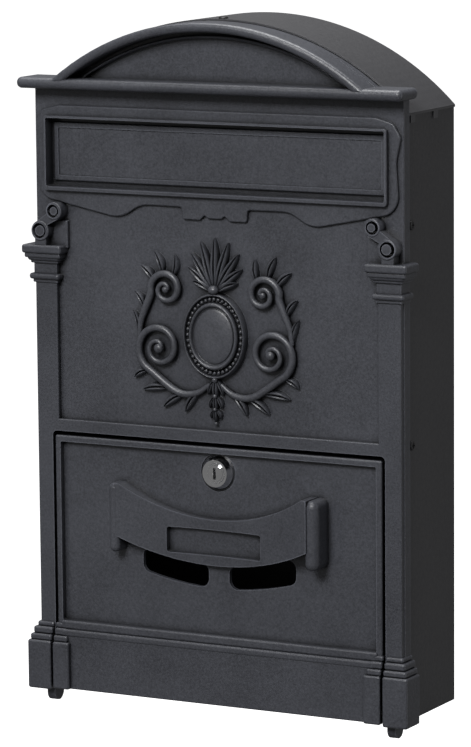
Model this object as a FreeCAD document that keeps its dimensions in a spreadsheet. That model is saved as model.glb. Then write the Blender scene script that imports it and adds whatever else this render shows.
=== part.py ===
"""Wall mounted mailbox: a cast aluminium front and door on a folded sheet housing.

Heights run up from the underside of the feet and depths run forward from the wall, both in
millimetres. Each finished sub-part is then lowered, so that the origin lies in the wall plane at the
centre of the four wall holes. +Z is up and the front faces -Y.
"""
import FreeCAD, Part
import math
import os
import re

import Sketcher
from FreeCAD import Placement, Rotation, Vector

DIMENSIONS = {
    # whole object
    "origin_height": 205,
    "wall_hole_spacing_wide": 180,
    "wall_hole_spacing_high": 240,
    "wall_hole_radius": 3,
    # front casting
    "casting_half": 124.5,
    "casting_front": 71.7,
    "casting_skin": 3,
    "casting_rear": 64.2,
    "rim_wall": 2.5,
    "spigot_half": 121.9,
    "spigot_rear": 59,
    "spigot_wall": 2.5,
    "panel_foot": 20,
    "lug_reach": 10,
    "lug_half": 6,
    "screw_bore_radius": 1.95,
    "panel_bottom": 169.4,
    # pilasters, capitals and feet
    "pilaster_inner": 108.9,
    "pilaster_outer": 123.9,
    "pilaster_front": 75.1,
    "capital_base": 255.3,
    "capital_top": 276.8,
    "console_left": 101.3,
    "console_backing_front": 74.2,
    "console_front": 80.6,
    "console_channel_floor": 75,
    "upper_scroll_x": 107.4,
    "upper_scroll_height": 298,
    "upper_scroll_radius": 5.4,
    "lower_scroll_x": 117.2,
    "lower_scroll_height": 285.6,
    "lower_scroll_radius": 6.1,
    "foot_inner": 113.7,
    "foot_reach": 6.3,
    "foot_height": 30.6,
    "foot_front": 81.6,
    "foot_wall": 2.5,
    "ear_drop": 2.9,
    "ear_radius": 5.5,
    # cornice and pediment
    "cornice_half": 129.6,
    "cornice_front": 86.2,
    "cornice_bottom": 372.6,
    "cornice_top": 379.4,
    "arch_centre": 247.2,
    "arch_radius": 168.2,
    "arch_thickness": 5.8,
    # roof and housing
    "roof_centre": 242.3,
    "roof_radius": 173.9,
    "roof_half": 124,
    "sheet_gauge": 1,
    "housing_half": 123.2,
    "housing_front": 63.9,
    "housing_bottom": 1.1,
    "housing_side_top": 363.4,
    "flange_width": 12,
    "rivet_across": 116,
    "rivet_front_depth": 50,
    "rivet_back_depth": 15,
    "rivet_radius": 1.6,
    "side_screw_depth": 59.5,
    "side_screw_low": 167,
    "side_screw_high": 298,
    "roof_screw_depth": 60,
    # letter slot and flap
    "slot_half": 114.2,
    "slot_bottom": 312.6,
    "slot_top": 354.4,
    "slot_front": 77.3,
    "slot_rear": 68.4,
    "ornament_front": 74.1,
    "flap_half": 117,
    "flap_rod_height": 357.6,
    "flap_rod_depth": 65,
    "flap_rod_radius": 1.5,
    # door
    "opening_half": 113.3,
    "opening_top": 162,
    "keeper_rear": 58.2,
    "door_half": 111.4,
    "door_top": 159.4,
    "door_bottom": 1,
    "door_front": 75.9,
    "door_field": 72,
    "door_back": 69,
    "door_border": 3.8,
    "plinth_front": 78.4,
    "plinth_top": 33.9,
    "field_bottom": 43.6,
    "door_foot_inner": 101.1,
    "door_foot_outer": 112.4,
    "pivot_height": 5,
    "pivot_depth": 70,
    "pivot_radius": 2,
    # ribbon on the door
    "ribbon_half": 67,
    "ribbon_front": 77.2,
    "ribbon_end_front": 88,
    "ribbon_plan_radius": 263,
    "ribbon_plan_centre": -8,
    "ribbon_top": 115.2,
    "ribbon_top_radius": 117,
    "ribbon_bottom": 87,
    "ribbon_bottom_radius": 155,
    "roll_outer": 74.3,
    "roll_top": 133.8,
    "roll_bottom": 91,
    "view_slot_inner": 7,
    "view_slot_outer": 52.4,
    "view_slot_bottom": 72,
    "view_slot_radius": 190,
    "plate_half": 32.6,
    "plate_bottom": 93.3,
    "plate_top": 109,
    # lock
    "lock_height": 143.6,
    "lock_seat": 71.2,
    "barrel_radius": 8,
    "barrel_length": 13,
    "bezel_radius": 10.2,
    "bezel_height": 5.6,
    "plug_radius": 5,
    "cam_length": 30,
    "cam_width": 14,
    "cam_gauge": 1.6,
    # running clearance on a radius
    "running_gap": 0.05,
}

doc = FreeCAD.newDocument("wall_mailbox")
sheet = doc.addObject("Spreadsheet::Sheet", "dims")
subparts = []


def fill_sheet():
    """Write each driving dimension as text, with its alias."""
    for row, (alias, size) in enumerate(DIMENSIONS.items(), start=1):
        sheet.set(f"A{row}", alias)
        sheet.set(f"B{row}", str(size))
        sheet.setAlias(f"B{row}", alias)
    doc.recompute()


def with_sheet(formula):
    """Point every alias in a formula at the sheet."""
    return re.sub(r"\b[a-z]+(?:_[a-z]+)+\b", lambda word: "dims." + word.group(0), str(formula))


def value(formula):
    """The number that a formula gives now."""
    return float(sheet.evalExpression(with_sheet(formula)))


def bind(thing, formulas):
    """Bind properties of a document object to formulas of sheet aliases."""
    for path, formula in formulas.items():
        thing.setExpression(path, with_sheet(formula))


def box(name, x, front, rear, z):
    """A box between two x, two depths in front of the wall and two heights."""
    solid = doc.addObject("Part::Box", name)
    bind(solid, {
        "Length": f"({x[1]}) - ({x[0]})",
        "Width": f"({front}) - ({rear})",
        "Height": f"({z[1]}) - ({z[0]})",
        "Placement.Base.x": x[0],
        "Placement.Base.y": f"-({front})",
        "Placement.Base.z": z[0],
    })
    return solid


def rod_along_y(name, x, z, front, rear, radius):
    """A cylinder whose axis runs front to back."""
    solid = doc.addObject("Part::Cylinder", name)
    solid.Placement = Placement(Vector(0, 0, 0), Rotation(Vector(1, 0, 0), 90))
    bind(solid, {
        "Radius": radius,
        "Height": f"({front}) - ({rear})",
        "Placement.Base.x": x,
        "Placement.Base.y": f"-({rear})",
        "Placement.Base.z": z,
    })
    return solid


def rod_along_x(name, x, depth, z, radius):
    """A cylinder whose axis runs from the first x to the second."""
    solid = doc.addObject("Part::Cylinder", name)
    solid.Placement = Placement(Vector(0, 0, 0), Rotation(Vector(0, 1, 0), 90))
    bind(solid, {
        "Radius": radius,
        "Height": f"({x[1]}) - ({x[0]})",
        "Placement.Base.x": x[0],
        "Placement.Base.y": f"-({depth})",
        "Placement.Base.z": z,
    })
    return solid


def rod_along_z(name, x, depth, z, radius):
    """An upright cylinder between two heights."""
    solid = doc.addObject("Part::Cylinder", name)
    bind(solid, {
        "Radius": radius,
        "Height": f"({z[1]}) - ({z[0]})",
        "Placement.Base.x": x,
        "Placement.Base.y": f"-({depth})",
        "Placement.Base.z": z[0],
    })
    return solid


def fuse(name, solids):
    """One solid out of several."""
    result = doc.addObject("Part::MultiFuse", name)
    result.Shapes = solids
    return result


def cut(name, base, tool):
    """The base without the tool."""
    result = doc.addObject("Part::Cut", name)
    result.Base = base
    result.Tool = tool
    return result


def common(name, first, second):
    """What two solids share."""
    result = doc.addObject("Part::Common", name)
    result.Base = first
    result.Tool = second
    return result


def mirrored(name, solid):
    """The left-hand copy of a right-hand solid."""
    result = doc.addObject("Part::Mirroring", name)
    result.Source = solid
    result.Normal = Vector(1, 0, 0)
    return result


def both_sides(name, solid):
    """A right-hand solid together with its mirror image."""
    return fuse(name, [solid, mirrored(name + "_left", solid)])


def soften(name, solid, radius, wanted):
    """Round the edges of a solid that the wanted test picks."""
    doc.recompute()
    result = doc.addObject("Part::Fillet", name)
    result.Base = solid
    size = value(radius)
    result.Edges = [(number, size, size)
                    for number, edge in enumerate(solid.Shape.Edges, start=1) if wanted(edge)]
    return result


def off_plane(axis, formula):
    """A test for edges that don't lie wholly in a plane square to an axis."""
    place = value(formula)

    def wanted(edge):
        return any(abs(getattr(vertex.Point, axis) - place) > 0.01 for vertex in edge.Vertexes)
    return wanted


def in_plane(axis, formula):
    """A test for edges that lie wholly in a plane square to an axis."""
    outside = off_plane(axis, formula)
    return lambda edge: not outside(edge)


def along(axis):
    """A test for straight edges that run along an axis."""
    def wanted(edge):
        ends = [getattr(vertex.Point, axis) for vertex in edge.Vertexes]
        return len(ends) == 2 and abs(abs(ends[0] - ends[1]) - edge.Length) < 0.01
    return wanted


def cast_block(name, x, front, rear, z, radius):
    """A block of a casting: all its edges are round but those at its rear."""
    block = box(name + "_block", x, front, rear, z)
    return soften(name, block, radius, off_plane("y", f"-({rear})"))


def profile(body, plane, points, name="profile"):
    """A closed sketch of straight lines, with both coordinates of each corner bound to the sheet."""
    sketch = body.newObject("Sketcher::SketchObject", name)
    origin_plane = [item for item in body.Origin.OriginFeatures if item.Role == plane][0]
    sketch.AttachmentSupport = [(origin_plane, "")]
    sketch.MapMode = "FlatFace"
    corners = [Vector(value(along_x), value(along_y), 0) for along_x, along_y in points]
    for start, end in zip(corners, corners[1:] + corners[:1]):
        sketch.addGeometry(Part.LineSegment(start, end), False)
    count = len(corners)
    for number in range(count):
        sketch.addConstraint(Sketcher.Constraint("Coincident", number, 2, (number + 1) % count, 1))
    for number, (along_x, along_y) in enumerate(points):
        for kind, formula, now in (("DistanceX", along_x, corners[number].x),
                                   ("DistanceY", along_y, corners[number].y)):
            index = sketch.addConstraint(Sketcher.Constraint(kind, -1, 1, number, 1, now))
            label = f"{kind}_{number}"
            sketch.renameConstraint(index, label)
            sketch.setExpression(f"Constraints.{label}", with_sheet(formula))
    return sketch


def turned(name, points):
    """A turned piece: a half section of (radius, length) corners revolved about its own Z axis."""
    body = doc.addObject("PartDesign::Body", name)
    sketch = profile(body, "XZ_Plane", points)
    revolution = body.newObject("PartDesign::Revolution", name + "_turning")
    revolution.Profile = sketch
    revolution.ReferenceAxis = (sketch, ["V_Axis"])
    revolution.Angle = 360
    body.Tip = revolution
    return body


def padded(name, points, length):
    """A flat piece: an outline in its own XY plane, pushed up along its own Z axis."""
    body = doc.addObject("PartDesign::Body", name)
    sketch = profile(body, "XY_Plane", points)
    pad = body.newObject("PartDesign::Pad", name + "_pad")
    pad.Profile = sketch
    bind(pad, {"Length": length})
    body.Tip = pad
    return body


def finish(solid, label, x=0, depth=0, height=0, turn=None):
    """Name a sub-part and place it, with the origin lowered into the wall-hole pattern."""
    if turn is not None:
        solid.Placement = Placement(Vector(0, 0, 0), turn)
    solid.Label = label
    bind(solid, {
        "Placement.Base.x": x,
        "Placement.Base.y": f"-({depth})",
        "Placement.Base.z": f"({height}) - origin_height",
    })
    subparts.append(solid)


FACING_FRONT = Rotation(Vector(1, 0, 0), 90)
FACING_RIGHT = Rotation(Vector(0, 1, 0), 90)


# ---------------------------------------------------------------- front casting

def moulding(name, reach, z, radius, inner="pilaster_inner"):
    """One tier of a capital: the pilaster's outline pushed out by a reach, round to the rear rim."""
    return cast_block(name, (f"{inner} - {reach}", f"pilaster_outer + {reach}"),
                      f"pilaster_front + {reach}", "casting_rear", z, radius)


def foot_tier(name, reach, front, z, radius):
    """One tier of a frame foot. Its inner side stays in line, beside the door."""
    return cast_block(name, ("foot_inner", f"pilaster_outer + {reach}"), front, "casting_rear", z, radius)


def right_pilaster():
    """Pilaster with its capital above and its stepped foot below."""
    shaft = cast_block("shaft", ("pilaster_inner", "pilaster_outer"), "pilaster_front",
                       "casting_front - 1", ("panel_foot", "capital_base + 2"), 0.7)
    capital = [
        moulding("fillet_band", 1.1, ("capital_base - 2", "capital_base + 0.4"), 0.6),
        moulding("astragal", 3, ("capital_base", "capital_base + 3.7"), 1.6),
        moulding("necking", 0.6, ("capital_base + 3", "capital_base + 11"), 0.5),
        moulding("capital_fillet", 2.2, ("capital_base + 9.9", "capital_base + 12.4"), 1),
        moulding("capital_cyma", 4, ("capital_base + 11.4", "capital_top - 5.2"), 2.2),
        moulding("capital_ovolo", 5, ("capital_base + 13.4", "capital_top - 4.8"), 1.1),
        moulding("abacus", 6.3, ("capital_top - 5.3", "capital_top"), 1.5),
    ]
    foot = [
        foot_tier("foot_apron", 1.6, "pilaster_front + 1.7", ("foot_height + 8", "foot_height + 11.2"), 1.3),
        foot_tier("foot_ovolo", 3.6, "pilaster_front + 3.6", ("foot_height + 3.6", "foot_height + 8.2"), 1.5),
        foot_tier("foot_fillet", 5, "pilaster_front + 5.2", ("foot_height - 0.2", "foot_height + 3.8"), 1.4),
    ]
    return [shaft] + capital + foot + [right_foot()]


def right_foot():
    """Hollow foot block with the ear that carries a door pin."""
    block = cast_block("foot_block", ("foot_inner", "pilaster_outer + foot_reach"), "foot_front",
                       "casting_rear", ("0", "foot_height"), 1.4)
    hollow = box("foot_hollow", ("foot_inner + foot_wall", "pilaster_outer + foot_reach - foot_wall - 0.4"),
                 "foot_front - 3", "casting_rear - 2", ("foot_wall", "foot_height - foot_wall"))
    shell = cut("foot_shell", block, hollow)
    ear_x = ("foot_inner + 0.6", "foot_inner + 6.1")
    ear_tongue = box("ear_tongue", ear_x, "pivot_depth + ear_radius", "pivot_depth - ear_radius",
                     ("-ear_drop", "foot_height - 10.6"))
    ear_end = rod_along_x("ear_end", ear_x, "pivot_depth", "-ear_drop", "ear_radius")
    solid = fuse("foot_with_ear", [shell, ear_tongue, ear_end])
    bore = rod_along_x("ear_bore", ("foot_inner - 1", "foot_inner + 8"), "pivot_depth", "pivot_height",
                       "pivot_radius + 0.02")
    return cut("foot_bored", solid, bore)


def right_console():
    """S-shaped scroll bracket on a thin backing plate, standing on the abacus."""
    rear = "casting_front - 1"
    backing = cast_block("console_backing", ("console_left", "lower_scroll_x"), "console_backing_front", rear,
                         ("capital_top - 2", "upper_scroll_height - 6"), 0.9)
    discs = []
    channels = []
    for name in ("upper", "lower"):
        x, height, radius = f"{name}_scroll_x", f"{name}_scroll_height", f"{name}_scroll_radius"
        disc = rod_along_y(f"{name}_scroll_disc", x, height, "console_front", rear, radius)
        discs.append(soften(f"{name}_scroll_round", disc, 0.6, in_plane("y", "-console_front")))
        outer = rod_along_y(f"{name}_channel_outer", f"{x} + 0.5", height, "console_front + 2",
                            "console_channel_floor", f"{radius} - 1.4")
        eye = rod_along_y(f"{name}_eye", x, height, "console_front + 2", "console_channel_floor - 1",
                          f"{radius} - 2.9")
        channels.append(cut(f"{name}_channel", outer, eye))
    band = [Vector(x, -value(rear), z)
            for x, z in ((105, 292.9), (112.4, 296.4), (120.2, 290.9), (112.2, 289.2), (105, 292.9))]
    bridge = doc.addObject("Part::Feature", "console_bridge")
    thickness = value("console_front") - value(rear) - 0.6
    bridge.Shape = Part.Face(Part.makePolygon(band)).extrude(Vector(0, -thickness, 0))
    foot = cast_block("console_foot", ("lower_scroll_x - 3.8", "lower_scroll_x + 4.2"),
                      "console_front - 0.8", rear, ("capital_top - 1", "lower_scroll_height - 3.6"), 0.8)
    solid = fuse("console_solid", discs + [bridge, foot])
    return [backing, cut("console", solid, fuse("console_channels", channels))]


def right_lugs():
    """Inner side flange with its two threaded lugs and the bracket for the flap's rod."""
    flange = box("spigot_side", ("spigot_half - spigot_wall", "spigot_half"), "casting_front - 1",
                 "spigot_rear", ("foot_height + 3.4", "housing_side_top - 0.4"))
    pieces = [flange]
    for name, height in (("low", "side_screw_low"), ("high", "side_screw_high")):
        pieces.append(box(f"screw_lug_{name}", ("spigot_half - lug_reach", "spigot_half"),
                          "casting_front - 1", "side_screw_depth - 5",
                          (f"{height} - lug_half", f"{height} + lug_half")))
    pieces.append(box("rod_bracket", ("flap_half + 1.6", "spigot_half"), "casting_front - 1",
                      "flap_rod_depth - 4", ("flap_rod_height - 4", "flap_rod_height + 4")))
    holes = []
    for name, height in (("low", "side_screw_low"), ("high", "side_screw_high")):
        holes.append(rod_along_x(f"lug_hole_{name}", ("spigot_half - lug_reach - 1", "spigot_half + 1"),
                                 "side_screw_depth", height, "screw_bore_radius"))
    holes.append(rod_along_x("rod_hole", ("flap_half", "spigot_half + 1"), "flap_rod_depth",
                             "flap_rod_height", "flap_rod_radius + 0.02"))
    return cut("inner_flange", fuse("flange_and_lugs", pieces), fuse("lug_holes", holes))


def rounded_path(corners):
    """Straight runs joined by tangent arcs. Each corner is (x, z, radius); the ends have no radius."""
    places = [Vector(x, 0, z) for x, z, radius in corners]
    edges = []
    start = places[0]
    for number in range(1, len(places) - 1):
        back = (places[number - 1] - places[number]).normalize()
        ahead = (places[number + 1] - places[number]).normalize()
        half_angle = back.getAngle(ahead) / 2
        radius = corners[number][2]
        run = radius / math.tan(half_angle)
        middle = (back + ahead).normalize() * (radius / math.sin(half_angle) - radius)
        arc = Part.Arc(places[number] + back * run, places[number] + middle, places[number] + ahead * run)
        edges.append(Part.makeLine(start, places[number] + back * run))
        edges.append(arc.toShape())
        start = places[number] + ahead * run
    edges.append(Part.makeLine(start, places[-1]))
    return edges


def ornament_plate():
    """Raised plate around the letter slot: stepped tongue and two lobes below, waisted sides."""
    rear = value("casting_front") - 1
    front = value("ornament_front")
    corners = [(0, 297.5, 0), (4.6, 297.5, 2), (6.6, 299.4, 1.3), (10, 296.3, 2), (21.7, 296.3, 1.5),
               (22.3, 303.7, 2), (51, 303.9, 19), (64, 294.8, 19), (122.2, 306.2, 12),
               (120.2, 336, 20), (123.4, 351, 5), (118.5, 359, 5), (107, 362, 6), (0, 362, 0)]
    right = rounded_path(corners)
    left = rounded_path([(-x, z, radius) for x, z, radius in corners])
    outline = Part.Wire(Part.__sortEdges__(right + left))
    slab = Part.Face(outline).extrude(Vector(0, rear - front, 0))
    slab.translate(Vector(0, -rear, 0))
    front_edges = [edge for edge in slab.Edges
                   if all(abs(vertex.Y + front) < 0.01 for vertex in edge.Vertexes)]
    plate = doc.addObject("Part::Feature", "ornament_plate")
    plate.Shape = slab.makeFillet(0.9, front_edges)
    return plate


def slot_rim():
    """Thin wall that stands around the letter slot and runs back as its tunnel."""
    outer = box("rim_block", ("-slot_half - 1.5", "slot_half + 1.5"), "slot_front", "slot_rear",
                ("slot_bottom - 2.4", "slot_top + 1.5"))
    round_outer = soften("rim_outer", outer, 2, along("y"))
    return soften("rim_soft", round_outer, 0.5, in_plane("y", "-slot_front"))


def slot_tool():
    """The letter slot itself."""
    return soften("slot_opening", box("slot_block", ("-slot_half", "slot_half"), "slot_front + 5",
                                      "slot_rear - 9", ("slot_bottom", "slot_top")), 1.2, along("y"))


def pediment():
    """Cornice slab, the arch that rises from it, the bead under the arch and the arched spigot."""
    slab = box("cornice_block", ("-cornice_half", "cornice_half"), "cornice_front", "casting_rear",
               ("cornice_bottom", "cornice_top"))
    cornice = soften("cornice", slab, 3.2, off_plane("y", "-casting_rear"))
    above = box("above_cornice", ("-housing_half", "housing_half"), "cornice_front + 1", "spigot_rear - 1",
                ("cornice_top - 3", "roof_centre + roof_radius + 1"))
    bands = [cornice]
    rings = (
        ("arch", "arch_radius", "arch_radius - arch_thickness", "cornice_front", "casting_front - 2.6", 2.5),
        ("arch_bead", "arch_radius - arch_thickness - 2.2", "arch_radius - arch_thickness - 4.2", "75.6",
         "casting_front - 1", 0.9),
    )
    for name, outer, inner, front, rear, radius in rings:
        ring = cut(f"{name}_ring", rod_along_y(f"{name}_outer", 0, "arch_centre", front, rear, outer),
                   rod_along_y(f"{name}_inner", 0, "arch_centre", "90", "60", inner))
        part_ring = common(f"{name}_part", ring, above)
        bands.append(soften(name, part_ring, radius, in_plane("y", f"-({front})")))
    return bands


def head_plate():
    """Face of the pediment with the spigot that carries the roof sheet."""
    above = box("above_side", ("-spigot_half", "spigot_half"), "casting_front + 1", "spigot_rear - 1",
                ("cornice_bottom - 12", "roof_centre + roof_radius + 1"))
    face = rod_along_y("head_disc", 0, "arch_centre", "casting_front", "casting_front - casting_skin",
                       "arch_radius - 1")
    ring = cut("spigot_ring",
               rod_along_y("spigot_outer", 0, "roof_centre", "casting_front - 2.2", "spigot_rear",
                           "roof_radius - sheet_gauge - 0.3"),
               rod_along_y("spigot_inner", 0, "roof_centre", "casting_front + 1", "spigot_rear - 1",
                           "roof_radius - sheet_gauge - 2.8"))
    lug = box("roof_lug", ("-lug_half", "lug_half"), "casting_front - 1", "roof_screw_depth - 5",
              ("roof_centre + roof_radius - 12", "roof_centre + roof_radius - 2.5"))
    solid = fuse("head_solid", [common("head_face", face, above), common("spigot_arch", ring, above), lug])
    hole = rod_along_z("roof_lug_hole", 0, "roof_screw_depth",
                       ("roof_centre + roof_radius - 13", "roof_centre + roof_radius"), "screw_bore_radius")
    return cut("head", solid, hole)


def front_casting():
    """The whole front frame as one casting."""
    plate = box("face_plate", ("-casting_half + 1", "casting_half - 1"), "casting_front",
                "casting_front - casting_skin", ("panel_foot", "cornice_bottom + 3"))
    rim_block = box("rim_block_outer", ("-casting_half", "casting_half"), "casting_front", "casting_rear",
                    ("panel_foot", "cornice_bottom + 3"))
    rim_hollow = box("rim_hollow", ("-casting_half + rim_wall", "casting_half - rim_wall"),
                     "casting_front - 1", "casting_rear - 1", ("0", "cornice_bottom + 9"))
    rim = cut("rim", soften("rim_block_soft", rim_block, 1, lambda edge: along("z")(edge)
                            and edge.CenterOfMass.y < -value("casting_front") + 0.1), rim_hollow)
    rail = cast_block("rail", ("-pilaster_inner - 4", "pilaster_inner + 4"), "pilaster_front",
                      "casting_front - 1", ("opening_top - 3", "panel_bottom"), 0.8)
    keeper = box("keeper", ("-opening_half - 2.2", "opening_half + 2.2"), "casting_front - 1", "keeper_rear",
                 ("opening_top - 1", "opening_top + 2.4"))
    jamb = box("jamb", ("opening_half - 1", "opening_half + 2.2"), "casting_front - 1", "casting_rear - 2",
               ("32", "opening_top + 2"))
    right = fuse("right_side", right_pilaster() + right_console() + [right_lugs(), jamb])
    solid = fuse("front_solid", [plate, rim, rail, keeper, both_sides("sides", right),
                                 ornament_plate(), slot_rim(), head_plate()] + pediment())
    opening = soften("door_opening", box("door_opening_block", ("-opening_half", "opening_half"), "95", "50",
                                         ("-30", "opening_top")), 3, along("y"))
    finish(cut("front_casting_body", cut("front_with_opening", solid, opening), slot_tool()),
           "front_casting")


# ---------------------------------------------------------------- door

def view_slots():
    """Two slots that follow the ribbon's lower edge, as cutting tools."""
    block = box("view_block", ("view_slot_inner", "view_slot_outer"), "door_front + 1", "door_back - 1",
                ("view_slot_bottom - 2", "ribbon_bottom + 9"))
    lower = rod_along_y("view_lower", 0, "view_slot_bottom + view_slot_radius", "door_front + 2",
                        "door_back - 2", "view_slot_radius")
    upper = rod_along_y("view_upper", 0, "ribbon_bottom - 0.4 + ribbon_bottom_radius", "door_front + 2",
                        "door_back - 2", "ribbon_bottom_radius")
    crescent = cut("view_crescent", common("view_band", block, lower), upper)
    return both_sides("view_slots", soften("view_soft", crescent, 5.4, along("y")))


def ribbon():
    """Hollow-faced ribbon between two upright rolls, with the name-plate recess."""
    rear = "door_field - 0.6"
    block = box("ribbon_block", ("-ribbon_half + 0.5", "ribbon_half"), "ribbon_end_front", rear,
                ("ribbon_bottom", "roll_top"))
    above = rod_along_y("ribbon_above", 0, "ribbon_top + ribbon_top_radius", "ribbon_end_front + 1",
                        "door_field - 2", "ribbon_top_radius")
    below = rod_along_y("ribbon_below", 0, "ribbon_bottom + ribbon_bottom_radius", "ribbon_end_front + 1",
                        "door_field - 2", "ribbon_bottom_radius")
    hollow = rod_along_z("ribbon_hollow", "ribbon_plan_centre", "ribbon_front + ribbon_plan_radius",
                         ("0", "200"), "ribbon_plan_radius")
    strip = cut("ribbon_faced", cut("ribbon_topped", common("ribbon_based", block, below), above), hollow)
    roll_right = cast_block("roll_right", ("ribbon_half - 2", "roll_outer"), "ribbon_end_front", rear,
                            ("roll_bottom", "roll_top"), 4.5)
    roll_left = cast_block("roll_left", ("-roll_outer + 4", "-ribbon_half + 3.7"), "ribbon_end_front - 4",
                           rear, ("roll_bottom", "roll_top"), 3.4)
    recess_block = box("plate_block", ("-plate_half", "plate_half"), "ribbon_end_front + 1",
                       "ribbon_front - 3", ("plate_bottom", "plate_top"))
    recess = soften("plate_recess", recess_block, 1.5, along("y"))
    return cut("ribbon", fuse("ribbon_solid", [strip, roll_right, roll_left]), recess)


def right_door_foot():
    """Foot block of the door with its stepped mouldings and the boss for the pivot pin."""
    rear = "door_back"
    tiers = [
        cast_block("door_foot", ("door_foot_inner", "door_foot_outer"), "foot_front + 0.2", rear,
                   ("door_bottom", "foot_height"), 1.3),
        cast_block("door_foot_fillet", ("door_foot_inner + 1.5", "door_foot_outer"), "pilaster_front + 5.2",
                   rear, ("foot_height - 0.2", "foot_height + 3.8"), 1.3),
        cast_block("door_foot_ovolo", ("door_foot_inner + 2.9", "door_foot_outer"), "pilaster_front + 3.7",
                   rear, ("foot_height + 3.6", "foot_height + 8.2"), 1.4),
        cast_block("door_foot_apron", ("door_foot_inner + 5", "door_foot_outer"), "pilaster_front + 2", rear,
                   ("foot_height + 8", "foot_height + 11.4"), 1.2),
    ]
    hollow = box("door_foot_hollow", ("door_foot_inner + 2.5", "door_foot_outer - 2.5"), "foot_front - 2.4",
                 "door_back - 9", ("door_bottom + 2.5", "foot_height - 2"))
    boss = rod_along_x("pivot_boss", ("door_foot_inner + 2", "door_foot_outer"), "pivot_depth",
                       "pivot_height", 4)
    return [fuse("door_foot_tiers", tiers), hollow, boss]


def door_casting():
    """The door: bordered leaf, plinth, foot blocks, ribbon and viewing slots."""
    leaf = cast_block("leaf", ("-door_half", "door_half"), "door_front", "door_back", ("30", "door_top"), 1.3)
    field_x = ("-door_half + door_border", "door_half - door_border")
    field = soften("field", box("field_block", field_x, "door_front + 2", "door_field",
                                ("field_bottom", "door_top - door_border")), 1.2, along("y"))
    band_low = cast_block("band_low", ("-107.6", "107.6"), "pilaster_front + 3.8", "door_back",
                          ("plinth_top", "plinth_top + 4.7"), 1.5)
    band_high = cast_block("band_high", ("-108.4", "108.4"), "pilaster_front + 2", "door_back",
                           ("plinth_top + 4.4", "field_bottom + 0.2"), 1.3)
    plinth = cast_block("plinth", ("-door_foot_inner - 3", "door_foot_inner + 3"), "plinth_front",
                        "door_back", ("door_bottom", "plinth_top + 1"), 0.9)
    plinth_hollow = box("plinth_hollow", ("-door_foot_inner + 1", "door_foot_inner - 1"),
                        "plinth_front - 2.5", "door_back - 1", ("door_bottom + 2.5", "field_bottom - 2.5"))
    foot, foot_hollow, boss = right_door_foot()
    outside = fuse("door_outside", [cut("leaf_with_field", leaf, field), band_low, band_high, plinth,
                                    both_sides("door_feet", foot)])
    hollows = fuse("door_hollows", [plinth_hollow, both_sides("foot_hollows", foot_hollow)])
    shell = cut("door_shell", outside, hollows)
    dish = rod_along_y("lock_dish", 0, "lock_height", "door_front + 1", "lock_seat", 11.7)
    lock_hole = rod_along_y("lock_hole", 0, "lock_height", "door_front + 1", "door_back - 1",
                            "barrel_radius + 0.1")
    open_shell = cut("door_open", shell, fuse("door_holes", [dish, lock_hole, view_slots()]))
    bore = rod_along_x("pivot_bore", ("door_foot_inner + 1.5", "door_foot_outer + 1"), "pivot_depth",
                       "pivot_height", "pivot_radius + running_gap")
    solid = fuse("door_solid", [open_shell, ribbon(), both_sides("bosses", boss)])
    finish(cut("door_body", solid, both_sides("pivot_bores", bore)), "door_casting")


def door_hinge_pins():
    """One headed pin on each side, from the frame's ear into the door's foot."""
    shank = rod_along_x("pin_shank", ("door_foot_inner + 2.6", "foot_inner + 6.2"), "pivot_depth",
                        "pivot_height", "pivot_radius")
    head = rod_along_x("pin_head", ("foot_inner + 6.15", "foot_inner + 7.4"), "pivot_depth", "pivot_height",
                       "pivot_radius + 0.4")
    round_head = soften("pin_head_round", head, 0.5, in_plane("x", "foot_inner + 7.4"))
    finish(both_sides("hinge_pins", fuse("hinge_pin", [shank, round_head])), "door_hinge_pins")


# ---------------------------------------------------------------- flap

def letter_flap():
    """Flap that closes the slot from behind, with the raised panel that shows in it."""
    plate = box("flap_plate", ("-flap_half", "flap_half"), "slot_rear - 0.3", "slot_rear - 2.1",
                ("slot_bottom - 3", "flap_rod_height - 1"))
    panel = cast_block("flap_panel", ("-slot_half + 1.6", "slot_half - 1.6"), "slot_rear + 1.8",
                       "slot_rear - 1", ("slot_bottom + 3", "slot_top - 2.8"), 1)
    field = soften("flap_field", box("flap_field_block", ("-slot_half + 5", "slot_half - 5"),
                                     "slot_rear + 3", "slot_rear + 1",
                                     ("slot_bottom + 6.4", "slot_top - 6.2")), 1, along("y"))
    knuckle_spans = (("middle", ("-20", "20")), ("right", ("flap_half - 20", "flap_half - 1")),
                     ("left", ("-flap_half + 1", "-flap_half + 20")))
    knuckles = [rod_along_x(f"knuckle_{name}", x, "flap_rod_depth", "flap_rod_height", 2.9)
                for name, x in knuckle_spans]
    gaps = [box(f"knuckle_gap_{name}", x, "slot_rear", "slot_rear - 8",
                ("flap_rod_height - 3.2", "flap_rod_height + 4"))
            for name, x in (("right", ("20", "flap_half - 20")), ("left", ("-flap_half + 20", "-20")))]
    solid = fuse("flap_solid", [plate, cut("flap_panel_field", panel, field)] + knuckles)
    bore = rod_along_x("flap_bore", ("-flap_half - 1", "flap_half + 1"), "flap_rod_depth",
                       "flap_rod_height", "flap_rod_radius + running_gap")
    finish(cut("flap_body", solid, fuse("flap_cuts", gaps + [bore])), "letter_flap")


def flap_rod():
    """Rod across the casting that the flap swings on."""
    rod = rod_along_x("flap_rod_bar", ("-spigot_half", "spigot_half"), "flap_rod_depth",
                      "flap_rod_height", "flap_rod_radius")
    finish(soften("flap_rod_body", rod, 0.4, lambda edge: True), "flap_rod")


def rod_clips():
    """A push-on ring at each end of the flap, inside the brackets."""
    ring = rod_along_x("clip_ring", ("flap_half + 0.5", "flap_half + 1.3"), "flap_rod_depth",
                       "flap_rod_height", 3)
    bore = rod_along_x("clip_bore", ("flap_half", "flap_half + 2"), "flap_rod_depth", "flap_rod_height",
                       "flap_rod_radius + 0.02")
    finish(both_sides("clips", cut("clip", ring, bore)), "rod_clips")


# ---------------------------------------------------------------- housing

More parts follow.
